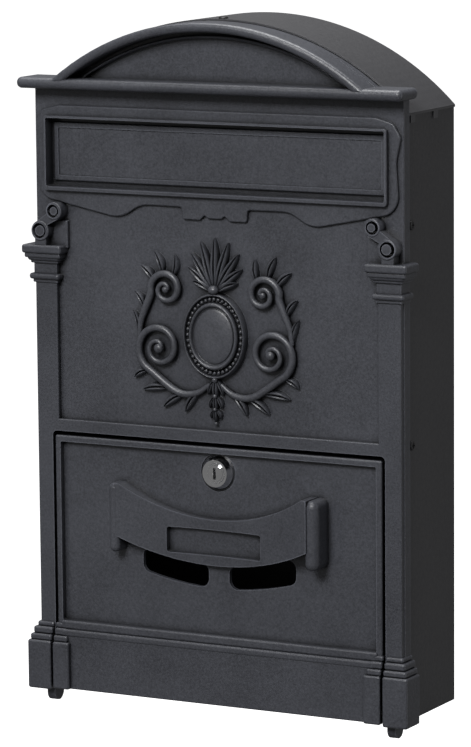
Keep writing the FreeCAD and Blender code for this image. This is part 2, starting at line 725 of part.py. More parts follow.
def housing_wrap():
    """Sides and back folded from one sheet, with bottom flanges for the floor and an arched back."""
    inner = "housing_half - sheet_gauge"
    outline = [
        ("-housing_half", "-housing_front"), ("-housing_half", "0"), ("housing_half", "0"),
        ("housing_half", "-housing_front"), (inner, "-housing_front"), (inner, "-sheet_gauge"),
        (f"-({inner})", "-sheet_gauge"), (f"-({inner})", "-housing_front"),
    ]
    sides = padded("wrap_sides", outline, "housing_side_top - housing_bottom")
    bind(sides, {"Placement.Base.z": "housing_bottom"})
    flange = box("bottom_flange", (f"{inner} - flange_width", f"{inner} + 0.5"), "housing_front", "0.5",
                 ("housing_bottom", "housing_bottom + sheet_gauge"))
    arch = common("back_arch",
                  rod_along_y("back_disc", 0, "roof_centre", "sheet_gauge", "0",
                              "roof_radius - sheet_gauge - 0.1"),
                  box("back_head", ("-housing_half", "housing_half"), "2", "-1",
                      ("housing_side_top - 20", "roof_centre + roof_radius")))
    holes = [rod_along_x(f"side_hole_{name}", ("-housing_half - 1", "housing_half + 1"),
                         "side_screw_depth", height, 2.1)
             for name, height in (("low", "side_screw_low"), ("high", "side_screw_high"))]
    for name, side in (("right", 1), ("left", -1)):
        for level, rise in (("low", -1), ("high", 1)):
            holes.append(rod_along_y(f"wall_hole_{name}_{level}", f"{side} * wall_hole_spacing_wide / 2",
                                     f"origin_height + {rise} * wall_hole_spacing_high / 2", "3", "-2",
                                     "wall_hole_radius"))
        for place in ("front", "back"):
            holes.append(rod_along_z(f"rivet_hole_{name}_{place}", f"{side} * rivet_across",
                                     f"rivet_{place}_depth", ("-2", "4"), "rivet_radius + 0.05"))
    solid = fuse("wrap_solid", [sides, both_sides("bottom_flanges", flange), arch])
    finish(cut("wrap_body", solid, fuse("wrap_holes", holes)), "housing_wrap")


def roof_sheet():
    """Curved roof with two tabs down over each side."""
    ring = cut("roof_ring", rod_along_y("roof_outer", 0, "roof_centre", "housing_front", "0", "roof_radius"),
               rod_along_y("roof_inner", 0, "roof_centre", "housing_front + 1", "-1",
                           "roof_radius - sheet_gauge"))
    window = box("roof_window", ("-roof_half", "roof_half"), "housing_front + 1", "-1",
                 ("roof_centre + 90", "roof_centre + roof_radius + 1"))
    arch = common("roof_arch", ring, window)
    tabs = [box(f"roof_tab_{name}", ("housing_half + 0.05", "roof_half"), depth, f"{depth} - 6",
                ("housing_side_top - 5", "housing_side_top + 0.6"))
            for name, depth in (("front", 61), ("back", 30))]
    solid = fuse("roof_solid", [arch, both_sides("roof_tabs", fuse("right_tabs", tabs))])
    hole = rod_along_z("roof_hole", 0, "roof_screw_depth", ("roof_centre + 160", "roof_centre + 180"), 2.1)
    finish(cut("roof_body", solid, hole), "roof_sheet")


def floor_panel():
    """Floor sheet with upturned edges at the sides and the back, on the flanges of the wrap."""
    low = "housing_bottom + sheet_gauge + 0.02"
    half = "housing_half - sheet_gauge - 0.1"
    sheet_x = (f"-({half})", half)
    base = box("floor_base", sheet_x, "housing_front - 0.4", "sheet_gauge + 0.1",
               (low, f"{low} + sheet_gauge"))
    side_edge = box("floor_side_edge", (f"{half} - sheet_gauge", half), "housing_front - 8",
                    "sheet_gauge + 0.1", (low, f"{low} + 10"))
    back_edge = box("floor_back_edge", sheet_x, "2 * sheet_gauge + 0.1", "sheet_gauge + 0.1",
                    (low, f"{low} + 10"))
    holes = [rod_along_z(f"floor_hole_{place}", "rivet_across", f"rivet_{place}_depth", ("-2", "5"),
                         "rivet_radius + 0.05")
             for place in ("front", "back")]
    solid = fuse("floor_solid", [base, both_sides("floor_side_edges", side_edge), back_edge])
    body = cut("floor_body", solid, both_sides("floor_holes", fuse("floor_holes_right", holes)))
    finish(body, "floor_panel")


def floor_rivets():
    """Two rivets on each side that hold the floor to the flanges."""
    low = "housing_bottom - 0.95"
    top = "housing_bottom + 2 * sheet_gauge + 0.02"
    rivets = []
    for place in ("front", "back"):
        depth = f"rivet_{place}_depth"
        shank = rod_along_z(f"rivet_shank_{place}", "rivet_across", depth, (low, f"{top} + 1"),
                            "rivet_radius")
        disc = rod_along_z(f"rivet_disc_{place}", "rivet_across", depth, (low, "housing_bottom"),
                           "rivet_radius + 1.4")
        head = soften(f"rivet_head_{place}", disc, 0.7, in_plane("z", low))
        tail = rod_along_z(f"rivet_tail_{place}", "rivet_across", depth, (top, f"{top} + 1"),
                           "rivet_radius + 0.9")
        rivets.append(fuse(f"rivet_{place}", [shank, head, tail]))
    finish(both_sides("rivets", fuse("rivets_right", rivets)), "floor_rivets")


def button_screw(name, length):
    """A cross-recessed button-head screw along its own Z axis, head outwards."""
    shank = doc.addObject("Part::Cylinder", name + "_shank")
    bind(shank, {"Radius": 1.9, "Height": f"{length} + 0.2", "Placement.Base.z": f"-({length})"})
    head = doc.addObject("Part::Cylinder", name + "_head")
    bind(head, {"Radius": 2.9, "Height": 1.2})
    dome = soften(name + "_dome", head, 0.9, lambda edge: edge.CenterOfMass.z > 1)
    slots = []
    for turn, (wide, deep) in enumerate(((3.6, 0.8), (0.8, 3.6))):
        slot = doc.addObject("Part::Box", f"{name}_slot_{turn}")
        bind(slot, {"Length": wide, "Width": deep, "Height": 2, "Placement.Base.x": -wide / 2,
                    "Placement.Base.y": -deep / 2, "Placement.Base.z": 0.5})
        slots.append(slot)
    return cut(name, fuse(name + "_solid", [shank, dome]), fuse(name + "_cross", slots))


def side_screws():
    """Two screws on each side, through the housing into the casting's lugs."""
    screws = []
    for name, height in (("low", "side_screw_low"), ("high", "side_screw_high")):
        screw = button_screw(f"side_screw_{name}", 9)
        screw.Placement = Placement(Vector(0, 0, 0), FACING_RIGHT)
        bind(screw, {"Placement.Base.x": "housing_half", "Placement.Base.y": "-side_screw_depth",
                     "Placement.Base.z": height})
        screws.append(screw)
    finish(both_sides("side_screws_body", fuse("side_screws_right", screws)), "side_screws")


def roof_screw():
    """Screw through the roof into the lug of the casting's spigot."""
    finish(button_screw("roof_screw_body", 9), "roof_screw", 0, "roof_screw_depth",
           "roof_centre + roof_radius")


# ---------------------------------------------------------------- lock

def lock_body():
    """Barrel with its bevelled bezel; the collar at its rear end keeps the plug in."""
    points = [
        ("plug_radius + running_gap", "-barrel_length"), ("barrel_radius", "-barrel_length"),
        ("barrel_radius", "0"), ("bezel_radius", "0"), ("bezel_radius", "1.5"),
        ("bezel_radius - 1.9", "bezel_height"), ("bezel_radius - 3.4", "bezel_height"),
        ("plug_radius + 0.9", "bezel_height - 0.8"), ("plug_radius + running_gap", "bezel_height - 0.8"),
    ]
    finish(turned("lock_barrel", points), "lock_body", 0, "lock_seat", "lock_height", FACING_FRONT)


def lock_plug():
    """Plug with its key slot in front and the square that drives the cam behind."""
    points = [
        ("0", "-barrel_length - 0.3"), ("plug_radius", "-barrel_length - 0.3"),
        ("plug_radius", "bezel_height - 0.4"), ("plug_radius - 0.5", "bezel_height"), ("0", "bezel_height"),
    ]
    core = turned("plug_core", points)
    square = doc.addObject("Part::Box", "plug_square")
    bind(square, {"Length": 6, "Width": 6, "Height": "cam_gauge + 0.3", "Placement.Base.x": -3,
                  "Placement.Base.y": -3, "Placement.Base.z": "-barrel_length - 0.3 - cam_gauge"})
    key_slot = doc.addObject("Part::Box", "key_slot")
    bind(key_slot, {"Length": 1.8, "Width": 7, "Height": 9, "Placement.Base.x": -0.9,
                    "Placement.Base.y": -3.5, "Placement.Base.z": "bezel_height - 8"})
    screw_hole = doc.addObject("Part::Cylinder", "plug_screw_hole")
    bind(screw_hole, {"Radius": 1.55, "Height": 9, "Placement.Base.z": "-barrel_length - 2 - cam_gauge"})
    body = cut("plug_body", fuse("plug_solid", [core, square]), fuse("plug_cuts", [key_slot, screw_hole]))
    finish(body, "lock_plug", 0, "lock_seat", "lock_height", FACING_FRONT)


def lock_washer():
    """Toothed washer between the door and the nut."""
    ring = doc.addObject("Part::Cylinder", "washer_ring")
    bind(ring, {"Radius": 10.4, "Height": 0.8})
    tools = [doc.addObject("Part::Cylinder", "washer_bore")]
    bind(tools[0], {"Radius": "barrel_radius + 0.1", "Height": 3, "Placement.Base.z": -1})
    notch_count = 12
    for number in range(notch_count):
        turn = 2 * math.pi * number / notch_count
        notch = doc.addObject("Part::Cylinder", f"washer_notch_{number}")
        bind(notch, {"Radius": 0.8, "Height": 3, "Placement.Base.x": 10.6 * math.cos(turn),
                     "Placement.Base.y": 10.6 * math.sin(turn), "Placement.Base.z": -1})
        tools.append(notch)
    finish(cut("washer_body", ring, fuse("washer_tools", tools)), "lock_washer", 0, "door_back - 0.85",
           "lock_height", FACING_FRONT)


def lock_nut():
    """Hexagonal nut on the barrel."""
    prism = doc.addObject("Part::Prism", "nut_prism")
    bind(prism, {"Polygon": 6, "Circumradius": 11.4, "Height": 3})
    bore = doc.addObject("Part::Cylinder", "nut_bore")
    bind(bore, {"Radius": "barrel_radius + 0.03", "Height": 5, "Placement.Base.z": -1})
    finish(cut("nut_body", prism, bore), "lock_nut", 0, "door_back - 3.95", "lock_height", FACING_FRONT)


def lock_cam():
    """Latch plate on the plug's square, pointing to the right while the lock is open."""
    half = "cam_width / 2"
    points = [(f"-({half})", f"-({half}) + 2"), (f"-({half}) + 2", f"-({half})"),
              ("cam_length - 3", f"-({half})"), ("cam_length", f"-({half}) + 3"),
              ("cam_length", f"{half} - 3"), ("cam_length - 3", half),
              (f"-({half}) + 2", half), (f"-({half})", f"{half} - 2")]
    plate = padded("cam_plate", points, "cam_gauge")
    square = doc.addObject("Part::Box", "cam_square")
    bind(square, {"Length": 6.1, "Width": 6.1, "Height": 6, "Placement.Base.x": -3.05,
                  "Placement.Base.y": -3.05, "Placement.Base.z": -2})
    finish(cut("cam_body", plate, square), "lock_cam", 0, "lock_seat - barrel_length - 0.35 - cam_gauge",
           "lock_height", FACING_FRONT)


def cam_fixings():
    """Screw and washer that hold the cam on the plug."""
    back = "lock_seat - barrel_length - 0.4 - cam_gauge"
    washer = doc.addObject("Part::Cylinder", "cam_washer_ring")
    bind(washer, {"Radius": 4.4, "Height": 0.6})
    washer_bore = doc.addObject("Part::Cylinder", "cam_washer_bore")
    bind(washer_bore, {"Radius": 1.7, "Height": 3, "Placement.Base.z": -1})
    finish(cut("cam_washer_body", washer, washer_bore), "cam_washer", 0, f"{back} - 0.65", "lock_height",
           FACING_FRONT)
    points = [("0", "0"), ("3.2", "0"), ("3.2", "1.4"), ("2.7", "1.9"), ("1.5", "1.9"), ("1.5", "7.5"),
              ("0", "7.5")]
    finish(turned("cam_screw_body", points), "cam_screw", 0, f"{back} - 2.6", "lock_height", FACING_FRONT)


# ---------------------------------------------------------------- crest

def crest_relief():
    """Plain ornamental cartouche on the upper panel: a backing with a round boss, scrolls, a fan and a drop."""
    rear = "casting_front"
    crest_foot = 172
    crest_top = 295
    backing = [(0, crest_foot), (9, 182), (22, 196), (40, 194), (54, 212), (52, 240), (36, 256), (20, 268),
               (12, 286), (0, crest_top)]
    backing_depth = 3
    curve = Part.BSplineCurve()
    right = [Vector(x, -value(rear), z) for x, z in backing]
    left = [Vector(-x, -value(rear), z) for x, z in reversed(backing[1:-1])]
    curve.interpolate(right + left, PeriodicFlag=True)
    plate = doc.addObject("Part::Feature", "crest_backing")
    plate.Shape = Part.Face(Part.Wire(curve.toShape())).extrude(Vector(0, -backing_depth, 0))

    def boss(name, across, up, front, radius, rounding):
        disc = rod_along_y(f"{name}_disc", across, up, front, rear, radius)
        return soften(name, disc, rounding, in_plane("y", f"-({front})"))

    medallion = boss("crest_medallion", 0, "226", "casting_front + 7", 24, 4)
    fan = boss("crest_fan", 0, "274", "casting_front + 5", 13, 3)
    scroll = boss("crest_scroll", 40, "216", "casting_front + 5", 9, 3)
    drop = cast_block("crest_drop", ("-5", "5"), "casting_front + 5", rear, ("178", "206"), 3)
    finish(fuse("crest_body", [plate, medallion, fan, both_sides("crest_scrolls", scroll), drop]),
           "crest_relief", 0, "0.02", 0)


def check_document():
    """Stop if any object failed or any sub-part's shape is unusable."""
    doc.recompute()
    for thing in doc.Objects:
        if "Invalid" in thing.State or "Error" in thing.State:
            raise RuntimeError(f"{thing.Name} failed: {thing.State}")
    for part in subparts:
        if part.Shape.isNull() or not part.Shape.isValid() or not part.Shape.Solids:
            raise RuntimeError(f"{part.Label} has no valid solid")


def write_steps():
    """Write each sub-part to its own file, and say how large it is."""
    os.makedirs("parts", exist_ok=True)
    for part in subparts:
        part.Shape.exportStep(f"parts/{part.Label}.step")
        extent = part.Shape.BoundBox
        print(f"{part.Label:18s} solids {len(part.Shape.Solids):2d}  volume {part.Shape.Volume:10.0f}"
              f"  x {extent.XMin:7.1f} {extent.XMax:7.1f}  y {extent.YMin:7.1f} {extent.YMax:7.1f}"
              f"  z {extent.ZMin:7.1f} {extent.ZMax:7.1f}")


fill_sheet()
front_casting()
crest_relief()
door_casting()
door_hinge_pins()
letter_flap()
flap_rod()
rod_clips()
housing_wrap()
roof_sheet()
floor_panel()
floor_rivets()
side_screws()
roof_screw()
lock_body()
lock_plug()
lock_washer()
lock_nut()
lock_cam()
cam_fixings()
check_document()
write_steps()
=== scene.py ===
"""Looks for the wall mounted mailbox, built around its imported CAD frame. Everything is in metres."""

import math

import bmesh
import bpy
from mathutils import Matrix, Vector


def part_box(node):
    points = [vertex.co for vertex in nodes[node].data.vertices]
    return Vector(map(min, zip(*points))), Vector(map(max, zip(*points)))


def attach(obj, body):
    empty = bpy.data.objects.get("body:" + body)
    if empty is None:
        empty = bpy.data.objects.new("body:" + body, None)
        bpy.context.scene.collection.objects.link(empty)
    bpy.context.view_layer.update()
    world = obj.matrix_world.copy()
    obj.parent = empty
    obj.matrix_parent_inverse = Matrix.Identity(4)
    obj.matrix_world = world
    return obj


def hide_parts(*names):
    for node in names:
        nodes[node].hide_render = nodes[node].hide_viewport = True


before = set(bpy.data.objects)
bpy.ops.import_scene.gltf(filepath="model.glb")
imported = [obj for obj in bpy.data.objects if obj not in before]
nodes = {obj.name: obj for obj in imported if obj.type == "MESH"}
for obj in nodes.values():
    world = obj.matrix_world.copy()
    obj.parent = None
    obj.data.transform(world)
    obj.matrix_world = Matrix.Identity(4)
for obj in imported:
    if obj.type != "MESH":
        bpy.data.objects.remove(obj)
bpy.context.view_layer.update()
MM = 0.001
SHELTER_SAMPLES = 8

# ---------------------------------------------------------------- node tools

def new_material(name):
    """An empty node material with a Principled shader joined to its output."""
    material = bpy.data.materials.new(name)
    material.use_nodes = True
    tree = material.node_tree
    tree.nodes.clear()
    output = tree.nodes.new("ShaderNodeOutputMaterial")
    shader = tree.nodes.new("ShaderNodeBsdfPrincipled")
    tree.links.new(shader.outputs["BSDF"], output.inputs["Surface"])
    return material, tree, shader


def noise(tree, place, scale, detail=2, roughness=0.5):
    """Noise over object space, with its scale in features per metre."""
    texture = tree.nodes.new("ShaderNodeTexNoise")
    texture.inputs["Scale"].default_value = scale
    texture.inputs["Detail"].default_value = detail
    texture.inputs["Roughness"].default_value = roughness
    tree.links.new(place, texture.inputs["Vector"])
    return texture.outputs["Fac"]


def spread(tree, value, low, high, start=0.3, end=0.7):
    """Map a noise value onto a range."""
    remap = tree.nodes.new("ShaderNodeMapRange")
    remap.inputs["From Min"].default_value = start
    remap.inputs["From Max"].default_value = end
    remap.inputs["To Min"].default_value = low
    remap.inputs["To Max"].default_value = high
    tree.links.new(value, remap.inputs["Value"])
    return remap.outputs["Result"]


def blend_colours(tree, factor, first, second):
    """A blend from the first colour, fixed or from another node, to the second by a factor."""
    mix = tree.nodes.new("ShaderNodeMix")
    mix.data_type = "RGBA"
    mix.inputs["B"].default_value = (*second, 1)
    if isinstance(first, tuple):
        mix.inputs["A"].default_value = (*first, 1)
    else:
        tree.links.new(first, mix.inputs["A"])
    tree.links.new(factor, mix.inputs["Factor"])
    return mix.outputs["Result"]


def multiply_colours(tree, first, second):
    """The product of two colours from other nodes."""
    mix = tree.nodes.new("ShaderNodeMix")
    mix.data_type = "RGBA"
    mix.blend_type = "MULTIPLY"
    mix.inputs["Factor"].default_value = 1
    tree.links.new(first, mix.inputs["A"])
    tree.links.new(second, mix.inputs["B"])
    return mix.outputs["Result"]


def bump(tree, height, depth, base=None):
    """Relief from a height value, with its depth in metres."""
    relief = tree.nodes.new("ShaderNodeBump")
    relief.inputs["Distance"].default_value = depth
    tree.links.new(height, relief.inputs["Height"])
    if base is not None:
        tree.links.new(base, relief.inputs["Normal"])
    return relief.outputs["Normal"]


def sheltered(tree, reach, inside=False):
    """How open the surface is within a reach in metres: 0 deep in a crease, or on a sharp edge from inside."""
    shelter = tree.nodes.new("ShaderNodeAmbientOcclusion")
    shelter.samples = SHELTER_SAMPLES
    shelter.inside = inside
    shelter.inputs["Distance"].default_value = reach
    return shelter.outputs["AO"]


def object_space(tree):
    """Coordinates that stay with the piece, in metres."""
    return tree.nodes.new("ShaderNodeTexCoord").outputs["Object"]


# ---------------------------------------------------------------- materials

# Painted shade and painted highlights in the coats' colour: near black in creases and lighter along sharp edges,
# from ambient-occlusion masks.
PAINTED_SHADE_REACH = 0.007
PAINTED_SHADE_COLOUR = (0.006, 0.006, 0.008)
PAINTED_HIGHLIGHT_REACH = 0.0012
PAINTED_HIGHLIGHT_GAIN = 2.2
WHITE = (1, 1, 1)


def coat_tone(tree, place, dark, light):
    """The coat's own colour: soft clouds with fine specks over them."""
    cloud = spread(tree, noise(tree, place, 22, 3), 0, 0.35)
    speck = spread(tree, noise(tree, place, 800, 2, 0.7), 0, 0.65)
    tone = tree.nodes.new("ShaderNodeMath")
    tree.links.new(cloud, tone.inputs[0])
    tree.links.new(speck, tone.inputs[1])
    return blend_colours(tree, tone.outputs["Value"], dark, light)


def painted_shade_and_highlight(tree, coat, light, edge_highlight):
    """A coat's colour with painted shade, darker in creases, and painted highlights, lighter along sharp edges."""
    # Painted shade: creases blend towards near black.
    crease = spread(tree, sheltered(tree, PAINTED_SHADE_REACH), 0, 1, 0.3, 0.85)
    shaded = multiply_colours(tree, coat, blend_colours(tree, crease, PAINTED_SHADE_COLOUR, WHITE))
    # Painted highlight: sharp edges blend towards a brighter copy of the coat's light tone.
    edge = spread(tree, sheltered(tree, PAINTED_HIGHLIGHT_REACH, inside=True), edge_highlight, 0, 0.3, 0.8)
    return blend_colours(tree, edge, shaded, tuple(PAINTED_HIGHLIGHT_GAIN * part for part in light))


def powder_coat(name, dark, light, roughness, grain_depth, peel_depth, edge_highlight=0.85):
    """Textured charcoal powder coat: fine grain over a softer orange peel, with painted shade in creases and
    painted highlights on edges in its colour.
    """
    material, tree, shader = new_material(name)
    place = object_space(tree)
    variation = 0.06
    coat = coat_tone(tree, place, dark, light)
    tree.links.new(painted_shade_and_highlight(tree, coat, light, edge_highlight), shader.inputs["Base Color"])
    patchy = spread(tree, noise(tree, place, 420), roughness - variation, roughness + variation)
    tree.links.new(patchy, shader.inputs["Roughness"])
    peel = bump(tree, noise(tree, place, 380, 1), peel_depth)
    grain = bump(tree, noise(tree, place, 1300, 2, 0.6), grain_depth, base=peel)
    tree.links.new(grain, shader.inputs["Normal"])
    return material


def chrome():
    """Polished chrome plate with hairline wipe marks."""
    material, tree, shader = new_material("polished_chrome")
    place = object_space(tree)
    shader.inputs["Metallic"].default_value = 1
    colour = blend_colours(tree, noise(tree, place, 120, 3), (0.8, 0.8, 0.81), (0.95, 0.95, 0.96))
    tree.links.new(colour, shader.inputs["Base Color"])
    tree.links.new(spread(tree, noise(tree, place, 700, 3), 0.04, 0.12), shader.inputs["Roughness"])
    waves = bump(tree, noise(tree, place, 260, 1), 0.00022)
    tree.links.new(bump(tree, noise(tree, place, 2200, 2), 0.00001, base=waves), shader.inputs["Normal"])
    return material


def dull_metal(name, metallic, colours, colour_scale, gloss, gloss_scale, grain_scale, grain=3):
    """A metal with cloudy colour, uneven gloss and a very fine grain. Scales are in features per metre."""
    material, tree, shader = new_material(name)
    place = object_space(tree)
    shader.inputs["Metallic"].default_value = metallic
    clouds = spread(tree, noise(tree, place, colour_scale, 4), 0, 1)
    tree.links.new(blend_colours(tree, clouds, *colours), shader.inputs["Base Color"])
    tree.links.new(spread(tree, noise(tree, place, gloss_scale, 3), *gloss), shader.inputs["Roughness"])
    tree.links.new(bump(tree, noise(tree, place, grain_scale, grain), 0.00002), shader.inputs["Normal"])
    return material


def zinc_plate():
    """Bright zinc plate on steel, with its cloudy, slightly yellow passivation."""
    colours = ((0.42, 0.42, 0.41), (0.62, 0.61, 0.56))
    return dull_metal("zinc_plate", 1, colours, 90, (0.28, 0.48), 500, 1500)


def plain_aluminium():
    """Bare aluminium of the rivets, dulled and finely scratched."""
    colours = ((0.5, 0.5, 0.51), (0.7, 0.7, 0.71))
    return dull_metal("plain_aluminium", 1, colours, 300, (0.3, 0.5), 900, 2500, 2)


def black_steel():
    """Blackened screw steel, a little worn."""
    colours = ((0.01, 0.01, 0.011), (0.035, 0.035, 0.037))
    return dull_metal("blackened_steel", 0.4, colours, 600, (0.32, 0.5), 800, 2000, 2)


cast_coat = powder_coat("cast_powder_coat", (0.022, 0.023, 0.028), (0.062, 0.065, 0.077), 0.4,
                        grain_depth=0.00008, peel_depth=0.00010)
# The sheet coat is the same anthracite powder coat, set darker than the cast coat's as painted shade for the
# housing's side that faces away from the lamps.
sheet_coat_with_painted_shade = powder_coat("sheet_powder_coat", (0.018, 0.018, 0.02), (0.032, 0.032, 0.035), 0.45,
                         grain_depth=0.00004, peel_depth=0.00006)
crest_coat = powder_coat("crest_powder_coat", (0.028, 0.029, 0.034), (0.068, 0.071, 0.083), 0.38,
                         grain_depth=0.00005, peel_depth=0.00004, edge_highlight=0.1)
FINISHES = {
    cast_coat: ("front_casting", "crest_relief", "door_casting", "letter_flap"),
    sheet_coat_with_painted_shade: ("housing_wrap", "roof_sheet", "floor_panel"),
    black_steel(): ("side_screws", "roof_screw"),
    plain_aluminium(): ("floor_rivets",),
    zinc_plate(): ("door_hinge_pins", "flap_rod", "rod_clips", "lock_washer", "lock_nut", "lock_cam",
                   "cam_washer", "cam_screw"),
    chrome(): ("lock_body", "lock_plug"),
}
for finish, names in FINISHES.items():
    for name in names:
        for holder in nodes[name].material_slots:
            holder.material = finish


# ---------------------------------------------------------------- crest tools
# Places on the crest are in millimetres: across from its centre line, up from its lower edge and proud
# of the panel behind it.

crest_low, crest_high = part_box("crest_relief")
SUNK = -0.4
WELD = 0.02
SHARP_ANGLE = math.radians(40)


def spot(across, up, proud):
    """A point on the crest in the row frame."""
    return Vector((across * MM, crest_high.y - proud * MM, crest_low.z + up * MM))


def finish_piece(name, mesh_data):
    """Turn a bmesh into a smooth, shaded piece of the casting that rides on the box."""
    bmesh.ops.remove_doubles(mesh_data, verts=mesh_data.verts, dist=WELD * MM)
    bmesh.ops.recalc_face_normals(mesh_data, faces=mesh_data.faces)
    mesh = bpy.data.meshes.new(name)
    mesh_data.to_mesh(mesh)
    mesh_data.free()
    piece = bpy.data.objects.new(name, mesh)
    bpy.context.scene.collection.objects.link(piece)
    mesh.materials.append(crest_coat)
    mesh.shade_smooth()
    mesh.set_sharp_from_angle(angle=SHARP_ANGLE)
    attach(piece, "box")
    return piece


def add_grid(mesh_data, rows, closed=False):
    """Faces over rows of points. A closed grid joins the last point of each row to its first."""
    verts = [[mesh_data.verts.new(point) for point in row] for row in rows]
    count = len(rows[0])
    for row, above in zip(verts, verts[1:]):
        for number in range(count if closed else count - 1):
            following = (number + 1) % count
            mesh_data.faces.new((row[number], row[following], above[following], above[number]))
    return verts


def add_surface(mesh_data, place, steps, turns):
    """Faces over a function of two fractions, with a skirt down to the panel all round."""
    rows = []
    for step in range(steps + 1):
        row = [place(step / steps, turn / turns) for turn in range(turns + 1)]
        rows.append([(row[0][0], row[0][1], SUNK)] + row + [(row[-1][0], row[-1][1], SUNK)])
    rows.insert(0, [(across, up, SUNK) for across, up, proud in rows[0]])
    rows.append([(across, up, SUNK) for across, up, proud in rows[-1]])
    add_grid(mesh_data, [[spot(*point) for point in row] for row in rows])


def between(a, b, c, d, t):
    """A value a fraction t of the way from b to c on a smooth curve through a, b, c and d."""
    straight = 2 * b + (c - a) * t
    bent = (2 * a - 5 * b + 4 * c - d) * t ** 2
    twisted = (3 * b - a - 3 * c + d) * t ** 3
    return 0.5 * (straight + bent + twisted)


def smooth_line(points, count):
    """Points spread along a smooth curve through a few given ones, all of any length."""
    ends = [points[0], *points, points[-1]]
    line = []
    for number in range(count + 1):
        travel = number / count * (len(points) - 1)
        first = min(int(travel), len(points) - 2)
        line.append(tuple(between(*values, travel - first) for values in zip(*ends[first:first + 4])))
    return line


def add_roll(mesh_data, points, count=24, sides=10, flatness=0.75):
    """A rounded cord of cast metal along a route of (across, up, proud, radius)."""
    line = smooth_line(points, count)
    rows = []
    for number, (across, up, proud, radius) in enumerate(line):
        before = line[max(number - 1, 0)]
        after = line[min(number + 1, count)]
        along = Vector((after[0] - before[0], after[1] - before[1])).normalized()
        row = []
        for side in range(sides):
            turn = 2 * math.pi * side / sides
            sideways = radius * math.cos(turn)
            row.append(spot(across - along.y * sideways, up + along.x * sideways,
                            proud + flatness * radius * math.sin(turn)))
        rows.append(row)
    verts = add_grid(mesh_data, rows, closed=True)
    mesh_data.faces.new(verts[0])
    mesh_data.faces.new(verts[-1])


def add_bead(mesh_data, across, up, proud, radius, tall=1.0, flatness=0.8, sides=12):
    """A bead, taller than wide where tall is over 1."""
    rings = sides // 2
    rows = []
    for ring in range(rings + 1):
        tilt = math.pi * ring / rings
        rows.append([spot(across + radius * math.sin(tilt) * math.cos(2 * math.pi * side / sides),
                          up + radius * tall * math.cos(tilt),
                          proud + radius * flatness * math.sin(tilt) * math.sin(2 * math.pi * side / sides))
                     for side in range(sides)])
    add_grid(mesh_data, rows, closed=True)


def add_leaf(mesh_data, base, tip, width, rise, curl=0.0):
    """A leaf with a groove along its middle, from a base to a tip given as (across, up)."""
    along = Vector(tip) - Vector(base)
    side = Vector((-along.y, along.x)).normalized()

    def place(travel, turn):
        edge = 2 * turn - 1
        half = width / 2 * math.sin(math.pi * min(0.97 * travel + 0.03, 1)) ** 0.7
        centre = Vector(base) + along * travel + side * curl * math.sin(math.pi * travel)
        point = centre + side * edge * half
        height = rise * (1 - edge ** 4) * (0.45 + 0.55 * math.sin(math.pi * (0.15 + 0.75 * travel)))
        return (point.x, point.y, height - 0.45 * rise * math.exp(-(edge / 0.16) ** 2))

    add_surface(mesh_data, place, 12, 10)


def add_dish(mesh_data, up, halves, profile, sides=72):
    """An oval dish on the middle line. Its profile gives (share of the way out, proud)."""
    wide, tall = halves
    rows = []
    for out, proud in profile:
        turns = [2 * math.pi * side / sides for side in range(sides)]
        rows.append([spot(wide * out * math.cos(turn), up + tall * out * math.sin(turn), proud) for turn in turns])
    add_grid(mesh_data, rows, closed=True)


def volute(eye, reach, turns, start, count=24):
    """A route of (across, up, proud, radius) that winds in to an eye while the cord gets thinner."""
    route = []
    for number in range(count + 1):
        travel = number / count
        angle = math.radians(start) + 2 * math.pi * turns * travel
        away = reach * (0.14 + 0.86 * (1 - travel) ** 0.85)
        route.append((eye[0] + away * math.cos(angle), eye[1] + away * math.sin(angle),
                      2.6 + 1.6 * travel, 2.4 - 1.1 * travel))
    return route


def on_both_sides(build):
    """Run a builder for the right side and then for the left one."""
    for side in (1, -1):
        build(side)


# ---------------------------------------------------------------- crest

MEDALLION_UP = 55.5
MEDALLION_HALVES = (21.0, 26.0)
LOWER_EYE = (38.0, 46.0)
UPPER_EYE = (33.0, 82.0)


def crest_medallion():
    """Plain oval boss inside a raised rim, a channel and an outer moulding."""
    medallion = bmesh.new()
    profile = smooth_line(((0, 6.6), (0.35, 6.3), (0.6, 5.2), (0.66, 4.4), (0.7, 6), (0.74, 6.4), (0.78, 5.4),
                           (0.8, 3.2), (0.86, 2.7), (0.91, 3.2), (0.94, 5), (0.97, 5.2), (1, 3.4),
                           (1.01, SUNK)), 78)
    add_dish(medallion, MEDALLION_UP, MEDALLION_HALVES, profile)
    return finish_piece("crest_medallion", medallion)


def crest_beading():
    """Beads that lie in the medallion's channel, and one at the eye of each scroll."""
    beading = bmesh.new()
    count = 40
    channel = 0.86
    wide, tall = MEDALLION_HALVES
    for number in range(count):
        turn = 2 * math.pi * number / count
        add_bead(beading, channel * wide * math.cos(turn), MEDALLION_UP + channel * tall * math.sin(turn),
                 3.2, 1.35, 1, 1)

    def eyes(side):
        add_bead(beading, side * LOWER_EYE[0], LOWER_EYE[1], 3.6, 3.2, 1, 0.9, 16)
        add_bead(beading, side * UPPER_EYE[0], UPPER_EYE[1], 3.4, 2.4, 1, 0.9, 16)

    on_both_sides(eyes)
    return finish_piece("crest_beading", beading)


def crest_scrolls():
    """A large scroll that opens from the foot of the medallion, and a smaller one that grows out of it."""
    scrolls = bmesh.new()
    lower = [(4, 26, 2.2, 1.4), (13, 20, 2.6, 1.9), (26, 20, 2.8, 2.3)] + volute(LOWER_EYE, 15.5, 1.6, -70)
    upper = [(51.6, 53, 2.2, 1.4), (50.6, 62, 2.6, 1.9), (47, 71, 2.8, 2.2)] + volute(UPPER_EYE, 11, 1.5, -15)

    def pair(side):
        for route in (lower, upper):
            add_roll(scrolls, [(side * across, *rest) for across, *rest in route], 110, 12, 1)

    on_both_sides(pair)
    return finish_piece("crest_scrolls", scrolls)


